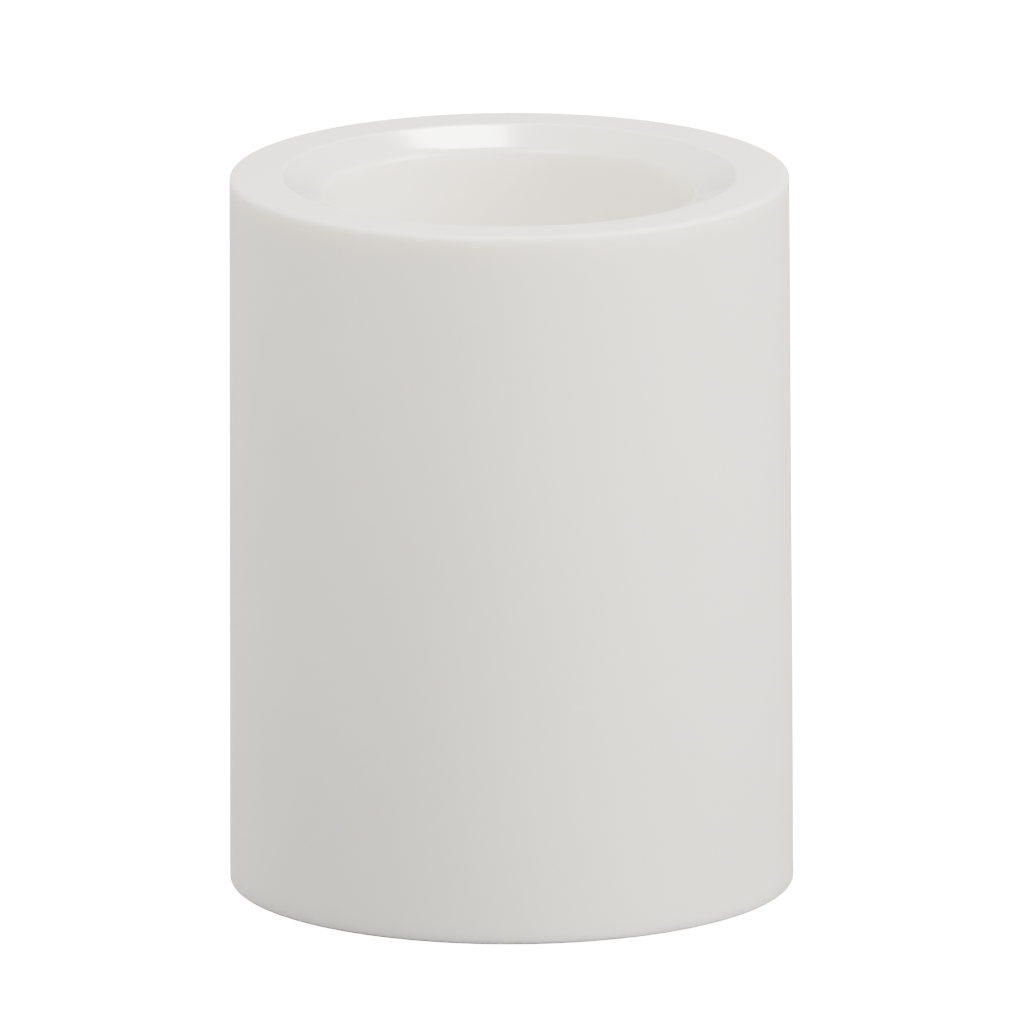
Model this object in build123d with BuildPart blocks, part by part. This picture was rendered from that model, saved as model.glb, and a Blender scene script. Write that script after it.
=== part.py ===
"""Flameless LED pillar candle: a wax shell round a two-cell battery case, a timer board and one LED.

Millimetres. +Z is up, and the origin is the centre of the wax foot that stands on the table.
The battery door hinges on the -Y side and opens downwards, and the mode switch is on the +Y side.
"""

import math
import os

from build123d import *

# ---------------------------------------------------------------- driving dimensions
candle_height = 101.6
foot_radius = 39.7
rim_radius = 39.3
edge_round = 0.6
recess_radius = 26.0  # at the lip
recess_draft = 0.5  # the wall leans in by this much on its way down
recess_depth = 28.6
recess_floor_round = 4.0
shoulder_radius = 32.2  # where the flat rim breaks into the sloped shoulder
shoulder_drop = 2.4  # the shoulder falls this far on its way in to the lip
shoulder_break_round = 1.5
lip_round = 1.0
wax_floor = 5.0
lens_hole_radius = 5.4
cavity_draft = 0.2  # the cavity is this much wider at its foot

cell_radius = 13.1
cell_length = 50.0
cell_offset = 14.0  # each cell's axis stands this far either side of the centre
nub_radius = 3.4
nub_height = 1.5
contact_thickness = 0.3
contact_disc_radius = 5.2
deck_contact_height = 57.6  # underside of the two contacts below the case's deck

plate_radius = 33.0
plate_bottom = 1.0
plate_thickness = 2.0
plate_gap = 0.4  # between the plate's edge and the wax
glue_thickness = 0.4
mould_round = 0.3

case_radius = 28.9
case_wall = 1.5
case_gap = 0.4
case_top = 66.0
bay_radius = 13.5
bay_wall = 1.2
deck_thickness = 2.0
cap_thickness = 1.5

door_centres = 13.9  # the door is a slot shape, and its round ends have their centres here
door_radius = 14.3
running_gap = 0.3
hinge_y = -17.0
hinge_z = 1.9
hinge_half = 8.0  # half the length of the door's barrel
barrel_radius = 1.3
pin_radius = 0.75
pin_clearance = 0.07
pin_reach = 2.4
tab_half = 4.0
tab_reach = 16.4

switch_y = 24.0
switch_travel = 2.0
terminal_pitch = 2.5
screw_x = 12.5
screw_y = 21.7
standoff_ring = 19.0
board_radius = 22.0
board_thickness = 1.4
board_lift = 2.1  # the board's height above the deck
led_radius = 2.5
led_rim_radius = 2.9
lead_offset = 1.27
lead_size = 0.5
lens_radius = 5.0
lens_bore = 3.6
wire_radius = 0.5

# ---------------------------------------------------------------- levels and places worked out from them
plate_top = plate_bottom + plate_thickness
glue_top = plate_top + glue_thickness
recess_floor = candle_height - recess_depth
cavity_top = recess_floor - wax_floor
cavity_radius = case_radius + case_gap
foot_bore = plate_radius + plate_gap
deck_bottom = deck_contact_height + contact_thickness
deck_top = deck_bottom + deck_thickness
board_bottom = deck_top + board_lift
board_top = board_bottom + board_thickness
bridge_top = plate_top + contact_thickness
dimple_height = 0.5
cell_a_bottom = deck_contact_height - cell_length
cell_b_top = bridge_top + dimple_height + cell_length

cell_places = [(-cell_offset, 0), (cell_offset, 0)]
lead_places = [(-lead_offset, 0), (lead_offset, 0)]
screw_places = [(x, y) for x in (-screw_x, screw_x) for y in (-screw_y, screw_y)]
standoff_turns = [math.radians(turn) for turn in (60, 180, 300)]
standoff_places = [(standoff_ring * math.cos(a), standoff_ring * math.sin(a)) for a in standoff_turns]
positive_tab = (-cell_offset, 6.0)
negative_tab = (cell_offset, -6.0)
wire_slot = (-2.5, switch_y)  # the three switch wires pass through one slot in the deck

# ---------------------------------------------------------------- wax shell
with BuildPart() as wax_shell:
    with BuildSketch(Plane.XZ):
        with BuildLine():
            Polyline((foot_bore, 0), (foot_radius, 0), (rim_radius, candle_height),
                     (shoulder_radius, candle_height), (recess_radius, candle_height - shoulder_drop),
                     (recess_radius - recess_draft, recess_floor),
                     (lens_hole_radius, recess_floor), (lens_hole_radius, cavity_top),
                     (cavity_radius, cavity_top), (cavity_radius + cavity_draft, glue_top),
                     (foot_bore, glue_top), (foot_bore, 0))
        make_face()
    revolve(axis=Axis.Z)
    rings = wax_shell.edges().filter_by(GeomType.CIRCLE)
    fillet(rings.group_by(SortBy.RADIUS)[-1] + rings.group_by(SortBy.RADIUS)[-2], radius=edge_round)
    fillet(rings.filter_by(lambda e: abs(e.radius - shoulder_radius) < 0.01), radius=shoulder_break_round)
    fillet(rings.filter_by(lambda e: abs(e.radius - recess_radius) < 0.01), radius=lip_round)
    floor_ring = rings.filter_by(lambda e: abs(e.radius - recess_radius + recess_draft) < 0.01)
    fillet(floor_ring, radius=recess_floor_round)
wax_shell.part.label = "wax_shell"

# ---------------------------------------------------------------- glue bead between the wax and the base
with BuildPart() as glue_bead:
    with BuildSketch(Plane.XY.offset(plate_top)):
        Circle(plate_radius - 0.2)
        Circle(cavity_radius + 0.5, mode=Mode.SUBTRACT)
    extrude(amount=glue_thickness)
glue_bead.part.label = "glue_bead"

# ---------------------------------------------------------------- base plate
side_gap = 0.35  # between the barrel's ends and the ears
ear_width = 2.7
ear_depth = 3.8
ear_corner = 0.6
ear_bottom = 0.4
notch_depth = 5.0  # both notches run on into the door's opening
scoop_y = 18.6
scoop_z = -1.2
scoop_radius = 3.2
scoop_half = 4.5
screw_radius = 1.0
screw_head_radius = 2.0
screw_head_height = 0.9
screw_seat = plate_bottom + screw_head_height + 0.1
stake_radius = 0.9
stake_height = 1.2
stake_places = [(-6.2, switch_y), (6.2, switch_y)]
knob_length = 4.0
knob_width = 3.2
knob_thickness = 0.6
stem_half = 1.0
slot_half = stem_half + switch_travel + 0.2
slot_width = 2.4
pocket_depth = 0.8
pocket_corner = 0.8
mark_size = (0.5, 1.4)
mark_offset = 3.6
mark_height = 0.2
ear_places = [(side * (hinge_half + side_gap + ear_width / 2), hinge_y) for side in (-1, 1)]

with BuildPart() as base_plate:
    with BuildSketch(Plane.XY.offset(plate_bottom)):
        Circle(plate_radius)
        SlotCenterToCenter(2 * door_centres, 2 * (door_radius + running_gap), mode=Mode.SUBTRACT)
        # the notch that the door's barrel turns in, and the one for its finger tab
        with Locations((0, hinge_y - barrel_radius - 0.4)):
            Rectangle(2 * (hinge_half + side_gap), notch_depth, align=(Align.CENTER, Align.MIN),
                      mode=Mode.SUBTRACT)
        with Locations((0, tab_reach + running_gap)):
            Rectangle(2 * (tab_half + running_gap), notch_depth, align=(Align.CENTER, Align.MAX),
                      mode=Mode.SUBTRACT)
    extrude(amount=plate_thickness)
    fillet(base_plate.faces().sort_by(Axis.Z)[0].edges(), radius=mould_round)
    # two ears carry the door's pins
    with BuildSketch(Plane.XY.offset(ear_bottom)):
        with Locations(*ear_places):
            RectangleRounded(ear_width, ear_depth, ear_corner)
    extrude(amount=plate_top - ear_bottom)
    with BuildSketch(Plane.YZ):
        with Locations((hinge_y, hinge_z)):
            Circle(pin_radius + pin_clearance)
    extrude(amount=hinge_half + side_gap + pin_reach, both=True, mode=Mode.SUBTRACT)
    # finger scoop in front of the tab
    with BuildSketch(Plane.YZ):
        with Locations((scoop_y, scoop_z)):
            Circle(scoop_radius)
    extrude(amount=scoop_half, both=True, mode=Mode.SUBTRACT)
    # screw holes, with seats for the heads
    with Locations(*[(x, y, plate_bottom) for x, y in screw_places]):
        Cylinder(screw_head_radius + 0.3, screw_seat - plate_bottom, mode=Mode.SUBTRACT,
                 align=(Align.CENTER, Align.CENTER, Align.MIN))
        Cylinder(screw_radius + 0.2, plate_thickness, mode=Mode.SUBTRACT,
                 align=(Align.CENTER, Align.CENTER, Align.MIN))
    # pocket for the switch knob, and the slot for its stem
    with BuildSketch(Plane.XY.offset(plate_bottom)):
        with Locations((0, switch_y)):
            RectangleRounded(knob_length + 2 * switch_travel + 1.0, knob_width + 0.8, pocket_corner)
    extrude(amount=pocket_depth, mode=Mode.SUBTRACT)
    with BuildSketch(Plane.XY.offset(plate_bottom)):
        with Locations((0, switch_y)):
            Rectangle(2 * slot_half, slot_width)
    extrude(amount=plate_thickness, mode=Mode.SUBTRACT)
    # three raised marks, one for each switch position
    with BuildSketch(Plane.XY.offset(plate_bottom)):
        with Locations(*[(x, switch_y + mark_offset) for x in (-switch_travel, 0, switch_travel)]):
            Rectangle(*mark_size)
    extrude(amount=-mark_height)
    # stakes that hold the switch
    with BuildSketch(Plane.XY.offset(plate_top)):
        with Locations(*stake_places):
            Circle(stake_radius)
    extrude(amount=stake_height)
base_plate.part.label = "base_plate"

# ---------------------------------------------------------------- battery case
boss_height = 13.0
boss_radius = 2.6
standoff_radius = 2.2
board_screw_radius = 0.8
pilot_depth = 3.6
bridge_gate = (13.0, 12.0, 5.0)  # cut out of the middle wall, clear of the bridge contact
tab_slot = (3.2, 0.7)
wire_slot_size = (15.0, 3.2)
wire_slot_corner = 1.0

with BuildPart() as battery_case:
    with BuildSketch(Plane.XY.offset(plate_top)):
        Circle(case_radius)
        Circle(case_radius - case_wall, mode=Mode.SUBTRACT)
        with Locations(*cell_places):
            Circle(bay_radius + bay_wall)
        with Locations(*cell_places):
            Circle(bay_radius, mode=Mode.SUBTRACT)
    extrude(amount=deck_bottom - plate_top)
    # bosses for the base screws
    with BuildSketch(Plane.XY.offset(plate_top)):
        with Locations(*screw_places):
            Circle(boss_radius)
            Circle(screw_radius, mode=Mode.SUBTRACT)
    extrude(amount=boss_height)
    # deck over the cells, then the tray round the board and its standoffs
    with BuildSketch(Plane.XY.offset(deck_bottom)):
        Circle(case_radius)
    extrude(amount=deck_thickness)
    with BuildSketch(Plane.XY.offset(deck_top)):
        Circle(case_radius)
        Circle(case_radius - case_wall, mode=Mode.SUBTRACT)
    extrude(amount=case_top - deck_top)
    with BuildSketch(Plane.XY.offset(deck_top)):
        with Locations(*standoff_places):
            Circle(standoff_radius)
    extrude(amount=board_bottom - deck_top)
    with Locations(*[(x, y, board_bottom) for x, y in standoff_places]):
        Cylinder(board_screw_radius, pilot_depth, align=(Align.CENTER, Align.CENTER, Align.MAX),
                 mode=Mode.SUBTRACT)
    # the door's bridge contact crosses under the middle wall here
    with Locations((0, 0, plate_top)):
        Box(*bridge_gate, align=(Align.CENTER, Align.CENTER, Align.MIN), mode=Mode.SUBTRACT)
    # slots in the deck for the contact tabs and the wires
    with BuildSketch(Plane.XY.offset(deck_bottom)):
        with Locations(positive_tab, negative_tab):
            Rectangle(*tab_slot)
        with Locations(wire_slot):
            RectangleRounded(*wire_slot_size, wire_slot_corner)
    extrude(amount=deck_thickness, mode=Mode.SUBTRACT)
battery_case.part.label = "battery_case"

# ---------------------------------------------------------------- top cap over the board
flange_radius = 7.0
flange_bottom = 64.6
fit_gap = 0.15
skirt_bottom = 64.0
skirt_radius = case_radius - case_wall - fit_gap
skirt_wall = 1.0
collar_wall = 1.2

with BuildPart() as top_cap:
    with BuildSketch(Plane.XY.offset(case_top)):
        Circle(case_radius)
    extrude(amount=cap_thickness)
    fillet(top_cap.faces().sort_by(Axis.Z)[-1].edges(), radius=edge_round)
    # a skirt that fits inside the tray, and a collar round the lens's flange
    with BuildSketch(Plane.XY.offset(skirt_bottom)):
        Circle(skirt_radius)
        Circle(skirt_radius - skirt_wall, mode=Mode.SUBTRACT)
        Circle(flange_radius + collar_wall)
        Circle(flange_radius + fit_gap, mode=Mode.SUBTRACT)
    extrude(amount=case_top - skirt_bottom)
    with Locations((0, 0, case_top)):
        Cylinder(lens_radius + fit_gap, 3 * cap_thickness, mode=Mode.SUBTRACT)
top_cap.part.label = "top_cap"

# ---------------------------------------------------------------- frosted lens over the LED
lens_shoulder = recess_floor + 2.0
lens_tip = lens_shoulder + 11.0
lens_crown = 4.4  # thickness of the solid tip
lens_foot_radius = 4.8

with BuildPart() as flame_lens:
    with BuildSketch(Plane.XZ):
        with BuildLine():
            Polyline((lens_bore, board_top), (lens_foot_radius, board_top),
                     (lens_foot_radius, flange_bottom), (flange_radius, flange_bottom),
                     (flange_radius, case_top), (lens_radius, case_top), (lens_radius, lens_shoulder))
            Spline((lens_radius, lens_shoulder), (4.55, lens_shoulder + 4.0), (2.9, lens_shoulder + 8.2),
                   (0, lens_tip), tangents=[(0, 1), (-1, 0)])
            Line((0, lens_tip), (0, lens_tip - lens_crown))
            Spline((0, lens_tip - lens_crown), (2.3, lens_tip - lens_crown - 2.0),
                   (lens_bore, lens_shoulder), tangents=[(1, 0), (0, -1)])
            Line((lens_bore, lens_shoulder), (lens_bore, board_top))
        make_face()
    revolve(axis=Axis.Z)
flame_lens.part.label = "flame_lens"

# ---------------------------------------------------------------- LED, its legs and its spacer
led_rim_height = 1.0
led_dome_height = 7.7
leg_hole_radius = 0.45
leg_end = board_bottom - 1.0

with BuildPart() as led_bulb:
    with BuildSketch(Plane.XY.offset(cavity_top)):
        Circle(led_rim_radius)
    extrude(amount=led_rim_height)
    with BuildSketch(Plane.XY.offset(cavity_top + led_rim_height)):
        Circle(led_radius)
    extrude(amount=led_dome_height)
    fillet(led_bulb.faces().sort_by(Axis.Z)[-1].edges(), radius=led_radius - 0.05)
led_bulb.part.label = "led_bulb"

with BuildPart() as led_leads:
    with BuildSketch(Plane.XY.offset(leg_end)):
        with Locations(*lead_places):
            Rectangle(lead_size, lead_size)
    extrude(amount=cavity_top - leg_end)
led_leads.part.label = "led_leads"

with BuildPart() as led_spacer:
    with BuildSketch(Plane.XY.offset(board_top)):
        Circle(led_rim_radius)
        with Locations(*lead_places):
            Circle(leg_hole_radius, mode=Mode.SUBTRACT)
    extrude(amount=cavity_top - board_top)
led_spacer.part.label = "led_spacer"

# ---------------------------------------------------------------- circuit board and what is soldered to it
chip_x = -11.0
chip_y = -9.0
chip_size = (5.0, 3.9)
chip_lift = 0.15
chip_height = 1.45
chip_pitch = 1.27
leg_width = 0.4
resistor_size = (1.25, 2.0)
resistor_height = 0.55
resistor_places = [(10.0, 11.0), (13.5, 8.0), (-15.5, -2.0)]
capacitor_place = (12.5, -8.0)
capacitor_size = (3.5, 2.8)
capacitor_height = 1.9
crystal_radius = 1.05
crystal_length = 6.2
crystal_x = -14.5
crystal_y = 7.0
wire_pads = {"yellow": (0, 17.5), "blue": (terminal_pitch, 17.5), "black": (14.5, -13.0)}

with BuildPart() as circuit_board:
    with BuildSketch(Plane.XY.offset(board_bottom)):
        Circle(board_radius)
        with Locations(*lead_places):
            Circle(leg_hole_radius, mode=Mode.SUBTRACT)
        with Locations(*standoff_places):
            Circle(1.1, mode=Mode.SUBTRACT)
    extrude(amount=board_thickness)
circuit_board.part.label = "circuit_board"

with BuildPart() as timer_chip:
    with BuildSketch(Plane.XY.offset(board_top + chip_lift)):
        with Locations((chip_x, chip_y)):
            Rectangle(*chip_size)
    extrude(amount=chip_height)
    chamfer(timer_chip.faces().sort_by(Axis.Z)[-1].edges(), length=0.3)
timer_chip.part.label = "timer_chip"

with BuildPart() as chip_legs:
    for side in (-1, 1):
        for step in (-1.5, -0.5, 0.5, 1.5):
            with BuildSketch(Plane.YZ.offset(chip_x + step * chip_pitch - leg_width / 2)):
                with BuildLine():
                    # a gull-wing leg, from the chip's side out and down to its foot on the board
                    leg = [(1.95, 0.7), (2.55, 0.7), (2.55, 0.2), (3.15, 0.2), (3.15, 0), (2.35, 0),
                           (2.35, 0.5), (1.95, 0.5)]
                    Polyline(*[(chip_y + side * out, board_top + up) for out, up in leg], close=True)
                make_face()
            extrude(amount=leg_width)
chip_legs.part.label = "chip_legs"

with BuildPart() as resistors:
    with BuildSketch(Plane.XY.offset(board_top)):
        with Locations(*resistor_places):
            Rectangle(*resistor_size)
    extrude(amount=resistor_height)
resistors.part.label = "resistors"

with BuildPart() as capacitor:
    with BuildSketch(Plane.XY.offset(board_top)):
        with Locations(capacitor_place):
            Rectangle(*capacitor_size)
    extrude(amount=capacitor_height)
    chamfer(capacitor.faces().sort_by(Axis.Z)[-1].edges(), length=0.25)
capacitor.part.label = "capacitor"

with BuildPart() as timer_crystal:
    with BuildSketch(Plane.YZ.offset(crystal_x)):
        with Locations((crystal_y, board_top + crystal_radius)):
            Circle(crystal_radius)
    extrude(amount=crystal_length)
    fillet(timer_crystal.faces().sort_by(Axis.X)[0].edges(), radius=0.3)
timer_crystal.part.label = "timer_crystal"

with BuildPart() as solder_joints:
    # under the board round the LED's legs
    with Locations(*[(x, y, board_bottom) for x, y in lead_places]):
        Cone(0.45, 1.0, 0.8, align=(Align.CENTER, Align.CENTER, Align.MAX))
        Box(lead_size, lead_size, 4.0, mode=Mode.SUBTRACT)
    # on top of it, where three wires end
    with Locations(*[(x, y, board_top) for x, y in wire_pads.values()]):
        Cone(1.0, 0.5, 1.3, align=(Align.CENTER, Align.CENTER, Align.MIN))
solder_joints.part.label = "solder_joints"

# ---------------------------------------------------------------- cells
can_length = cell_length - nub_height


def make_cell(name, centre_x, flat_end, way):
    """One C cell from its flat end at height `flat_end`, with its nub up if `way` is 1 and down if -1."""
    outline = [(0, 0.4), (4.4, 0.4), (4.8, 0), (cell_radius - 0.7, 0), (cell_radius, 0.7),
               (cell_radius, can_length - 0.9), (cell_radius - 0.9, can_length), (6.4, can_length),
               (5.9, can_length - 0.3), (nub_radius + 0.6, can_length - 0.3), (nub_radius, can_length + 0.2),
               (nub_radius, cell_length - 0.5), (nub_radius - 0.5, cell_length), (0, cell_length)]
    with BuildPart() as cell:
        with BuildSketch(Plane.XZ):
            with BuildLine():
                Polyline(*[(centre_x + out, flat_end + way * up) for out, up in outline], close=True)
            make_face()
        revolve(axis=Axis((centre_x, 0, 0), (0, 0, 1)))
    cell.part.label = name
    return cell.part


cells = [
    make_cell("battery_a", -cell_offset, cell_a_bottom, 1),
    make_cell("battery_b", cell_offset, cell_b_top, -1),
]

# ---------------------------------------------------------------- contacts under the deck
tab_width = 3.0
tab_thickness = 0.5


def make_deck_contact(name, cell_x, tab):
    """A flat contact under the deck, with a solder tab that stands up through it."""
    with BuildPart() as contact:
        with BuildSketch(Plane.XY.offset(deck_contact_height)):
            with Locations((cell_x, 0)):
                Circle(contact_disc_radius)
            with Locations((cell_x, tab[1] / 2)):
                Rectangle(tab_width, abs(tab[1]) + tab_thickness)
        extrude(amount=contact_thickness)
        with BuildSketch(Plane.XY.offset(deck_contact_height)):
            with Locations(tab):
                Rectangle(tab_width, tab_thickness)
        extrude(amount=deck_top + 1.5 - deck_contact_height)
    contact.part.label = name
    return contact.part


deck_contacts = [
    make_deck_contact("positive_contact", -cell_offset, positive_tab),
    make_deck_contact("negative_contact", cell_offset, negative_tab),
]

# ---------------------------------------------------------------- springs
spring_wire_radius = 0.4
spring_seat_radius = 4.6
spring_tip_radius = 2.4
spring_turns = 3.0


def make_spring(name, cell_x, seat, tip):
    """A conical spring from its wide seat to its narrow tip, at the length it has under a cell."""
    way = 1 if tip > seat else -1
    rise = abs(tip - seat) - 2 * spring_wire_radius
    taper = math.degrees(math.atan((spring_seat_radius - spring_tip_radius) / rise))
    with BuildPart() as spring:
        with BuildLine() as coil:
            Helix(pitch=rise / spring_turns, height=rise, radius=spring_seat_radius, cone_angle=-taper,
                  center=(cell_x, 0, seat + way * spring_wire_radius), direction=(0, 0, way))
        with BuildSketch(coil.wires()[0] ^ 0):
            Circle(spring_wire_radius)
        sweep(path=coil.wires()[0], is_frenet=True)
    spring.part.label = name
    return spring.part


springs = [
    make_spring("door_spring", -cell_offset, bridge_top, cell_a_bottom),
    make_spring("case_spring", cell_offset, deck_contact_height, cell_b_top),
]

# ---------------------------------------------------------------- battery door and its bridge contact
tab_height = 1.3
web_thickness = 1.4
post_radius = 1.0
post_places = [(-3.5, 0), (3.5, 0)]

with BuildPart() as battery_door:
    with BuildSketch(Plane.XY.offset(plate_bottom)):
        SlotCenterToCenter(2 * door_centres, 2 * door_radius)
        with Locations((0, tab_reach)):
            Rectangle(2 * tab_half, 4.0, align=(Align.CENTER, Align.MAX))
    extrude(amount=tab_height)
    fillet(battery_door.faces().sort_by(Axis.Z)[0].edges(), radius=mould_round)
    with BuildSketch(Plane.XY.offset(plate_bottom + tab_height)):
        SlotCenterToCenter(2 * door_centres, 2 * door_radius)
    extrude(amount=plate_thickness - tab_height)
    # grip lines across the finger tab
    with BuildSketch(Plane.XY.offset(plate_bottom)):
        with Locations(*[(0, tab_reach - inset) for inset in (2.9, 4.1, 5.3)]):
            Rectangle(7.0, 0.5)
    extrude(amount=0.25, mode=Mode.SUBTRACT)
    # the catch's springy leg and its nose, pressed in as when the door is being opened
    with BuildSketch(Plane.YZ):
        with BuildLine():
            Polyline((14.5, 2.2), (14.5, 4.8), (15.4, 4.8), (16.2, 3.9), (16.2, 3.3), (15.4, 3.3),
                     (15.4, 2.2), close=True)
        make_face()
    extrude(amount=3.0, both=True)
    # web, barrel and stub pins of the hinge
    with BuildSketch(Plane.XY.offset(hinge_z - web_thickness / 2)):
        with Locations((0, hinge_y)):
            Rectangle(2 * hinge_half, 3.2, align=(Align.CENTER, Align.MIN))
    extrude(amount=web_thickness)
    with BuildSketch(Plane.YZ):
        with Locations((hinge_y, hinge_z)):
            Circle(barrel_radius)
    extrude(amount=hinge_half, both=True)
    with BuildSketch(Plane.YZ):
        with Locations((hinge_y, hinge_z)):
            Circle(pin_radius)
    extrude(amount=hinge_half + pin_reach, both=True)
    # ribs that stiffen the door, and the posts that the bridge contact is staked to
    with BuildSketch(Plane.XY.offset(plate_top)):
        with Locations(*[(x, y) for x in (-13.0, 13.0) for y in (-8.0, 8.0)]):
            Rectangle(14.0, 0.9)
    extrude(amount=1.0)
    with BuildSketch(Plane.XY.offset(plate_top)):
        with Locations(*post_places):
            Circle(post_radius)
    extrude(amount=contact_thickness)
    with BuildSketch(Plane.XY.offset(bridge_top)):
        with Locations(*post_places):
            Circle(post_radius + 0.5)
    extrude(amount=0.6)
battery_door.part.label = "battery_door"

with BuildPart() as bridge_contact:
    with BuildSketch(Plane.XY.offset(plate_top)):
        Rectangle(2 * cell_offset, 7.0)
        with Locations(*cell_places):
            Circle(contact_disc_radius)
        with Locations(*post_places):
            Circle(post_radius, mode=Mode.SUBTRACT)
    extrude(amount=contact_thickness)
    # the dimple that the second cell's nub stands on
    with BuildSketch(Plane.XY.offset(bridge_top)):
        with Locations((cell_offset, 0)):
            Circle(2.0)
    extrude(amount=dimple_height)
    fillet(bridge_contact.faces().sort_by(Axis.Z)[-1].edges(), radius=mould_round)
bridge_contact.part.label = "bridge_contact"

# ---------------------------------------------------------------- mode switch
can_half_x = 4.9
can_half_y = 2.1
can_sheet = 0.3
can_top = 6.6
flange_sheet = 0.4
terminal_height = 3.0
knob_bottom = plate_bottom + 0.1
carriage_bottom = plate_top + flange_sheet + 0.1
carriage_top = carriage_bottom + 1.5

with BuildPart() as switch_can:
    with BuildSketch(Plane.XY.offset(plate_top)):
        with Locations((0, switch_y)):
            Rectangle(15.4, 2 * can_half_y)
            Rectangle(2 * slot_half, slot_width, mode=Mode.SUBTRACT)
        with Locations(*stake_places):
            Circle(stake_radius, mode=Mode.SUBTRACT)
    extrude(amount=flange_sheet)
    with BuildSketch(Plane.XY.offset(plate_top + flange_sheet)):
        with Locations((0, switch_y)):
            Rectangle(2 * can_half_x, 2 * can_half_y)
            Rectangle(2 * (can_half_x - can_sheet), 2 * (can_half_y - can_sheet), mode=Mode.SUBTRACT)
    extrude(amount=can_top - plate_top - flange_sheet)
switch_can.part.label = "switch_can"

with BuildPart() as switch_board:
    with BuildSketch(Plane.XY.offset(can_top)):
        with Locations((0, switch_y)):
            Rectangle(2 * (can_half_x - can_sheet), 2 * (can_half_y - can_sheet))
    extrude(amount=-1.0)
switch_board.part.label = "switch_board"

with BuildPart() as switch_terminals:
    with BuildSketch(Plane.XY.offset(can_top)):
        with Locations(*[(step * terminal_pitch, switch_y) for step in (-1, 0, 1)]):
            Rectangle(0.9, 0.4)
    extrude(amount=terminal_height)
switch_terminals.part.label = "switch_terminals"

with BuildPart() as switch_knob:
    with BuildSketch(Plane.XY.offset(knob_bottom)):
        with Locations((0, switch_y)):
            RectangleRounded(knob_length, knob_width, 0.5)
    extrude(amount=knob_thickness)
    fillet(switch_knob.faces().sort_by(Axis.Z)[0].edges(), radius=0.15)
    with BuildSketch(Plane.XY.offset(knob_bottom)):
        with Locations(*[(x, switch_y) for x in (-1.2, -0.4, 0.4, 1.2)]):
            Rectangle(0.35, 2.6)
    extrude(amount=0.2, mode=Mode.SUBTRACT)
    with BuildSketch(Plane.XY.offset(knob_bottom + knob_thickness)):
        with Locations((0, switch_y)):
            Rectangle(2 * stem_half, 2 * stem_half)
    extrude(amount=carriage_bottom - knob_bottom - knob_thickness)
    with BuildSketch(Plane.XY.offset(carriage_bottom)):
        with Locations((0, switch_y)):
            Rectangle(knob_length, 2.8)
    extrude(amount=carriage_top - carriage_bottom)
switch_knob.part.label = "switch_knob"

with BuildPart() as switch_wiper:
    with BuildSketch(Plane.XY.offset(carriage_top)):
        with Locations((0, switch_y)):
            Rectangle(3.2, 1.4)
    extrude(amount=0.25)
    with BuildSketch(Plane.XY.offset(carriage_top + 0.25)):
        with Locations(*[(side * terminal_pitch / 2, switch_y) for side in (-1, 1)]):
            Circle(0.35)
    extrude(amount=0.25)
switch_wiper.part.label = "switch_wiper"

# ---------------------------------------------------------------- screws
def make_screws(name, places, seat, way, head, shank):
    """Cross-recessed pan-head screws that point up if `way` is 1; head and shank are (radius, length)."""
    with BuildPart() as screws:
        for x, y in places:
            with Locations((x, y, seat - way * head[1] / 2)):
                Cylinder(*head)
            with Locations((x, y, seat + way * shank[1] / 2)):
                Cylinder(*shank)
            with Locations((x, y, seat - way * (head[1] - 0.2))):
                Box(1.2 * head[0], 0.25 * head[0], 0.4, mode=Mode.SUBTRACT)
                Box(0.25 * head[0], 1.2 * head[0], 0.4, mode=Mode.SUBTRACT)
    screws.part.label = name
    return screws.part


screw_groups = [
    make_screws("base_screws", screw_places, screw_seat, 1, (screw_head_radius, screw_head_height),
                (screw_radius, 9.0)),
    make_screws("board_screws", standoff_places, board_top, -1, (1.7, 1.0),
                (board_screw_radius, board_thickness + 3.0)),
]

# ---------------------------------------------------------------- wires
terminal_top = can_top + terminal_height
on_board = board_top + wire_radius + 0.1
on_deck = deck_top + wire_radius + 0.1


def make_wire(name, points, bends):
    """An insulated wire of round section along straight runs joined by tangent arcs."""
    with BuildPart() as wire:
        with BuildLine() as route:
            FilletPolyline(*points, radius=bends)
        path = route.wires()[0]
        with BuildSketch(path ^ 0):
            Circle(wire_radius)
        sweep(path=path)
    wire.part.label = name
    volume_ratio = wire.part.volume / (math.pi * wire_radius**2 * path.length)
    print(f"{name} {path.length:.1f} mm, bends {bends}, volume ratio {volume_ratio:.4f}")
    return wire.part


wires = [
    make_wire("red_wire", [
        (positive_tab[0], positive_tab[1] + tab_thickness / 2, on_deck),
        (positive_tab[0], 17.0, on_deck),
        (-7.5, switch_y, on_deck),
        (-7.5, switch_y, 32.0),
        (-terminal_pitch, switch_y, 20.0),
        (-terminal_pitch, switch_y, terminal_top),
    ], [4.0, 2.6, 8.0, 8.0]),
    make_wire("black_wire", [
        (negative_tab[0], negative_tab[1] - tab_thickness / 2, on_deck),
        (negative_tab[0], -14.0, on_deck),
        (17.5, -17.5, on_deck),
        (17.5, -17.5, on_board),
        (wire_pads["black"][0] + 0.6, wire_pads["black"][1] - 0.6, on_board),
    ], [3.0, 1.2, 1.2]),
]
for colour in ("yellow", "blue"):
    pad_x, pad_y = wire_pads[colour]
    wires.append(make_wire(f"{colour}_wire", [
        (pad_x, switch_y, terminal_top),
        (pad_x, switch_y, on_board),
        (pad_x, pad_y + 1.0, on_board),
    ], [2.6]))

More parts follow.
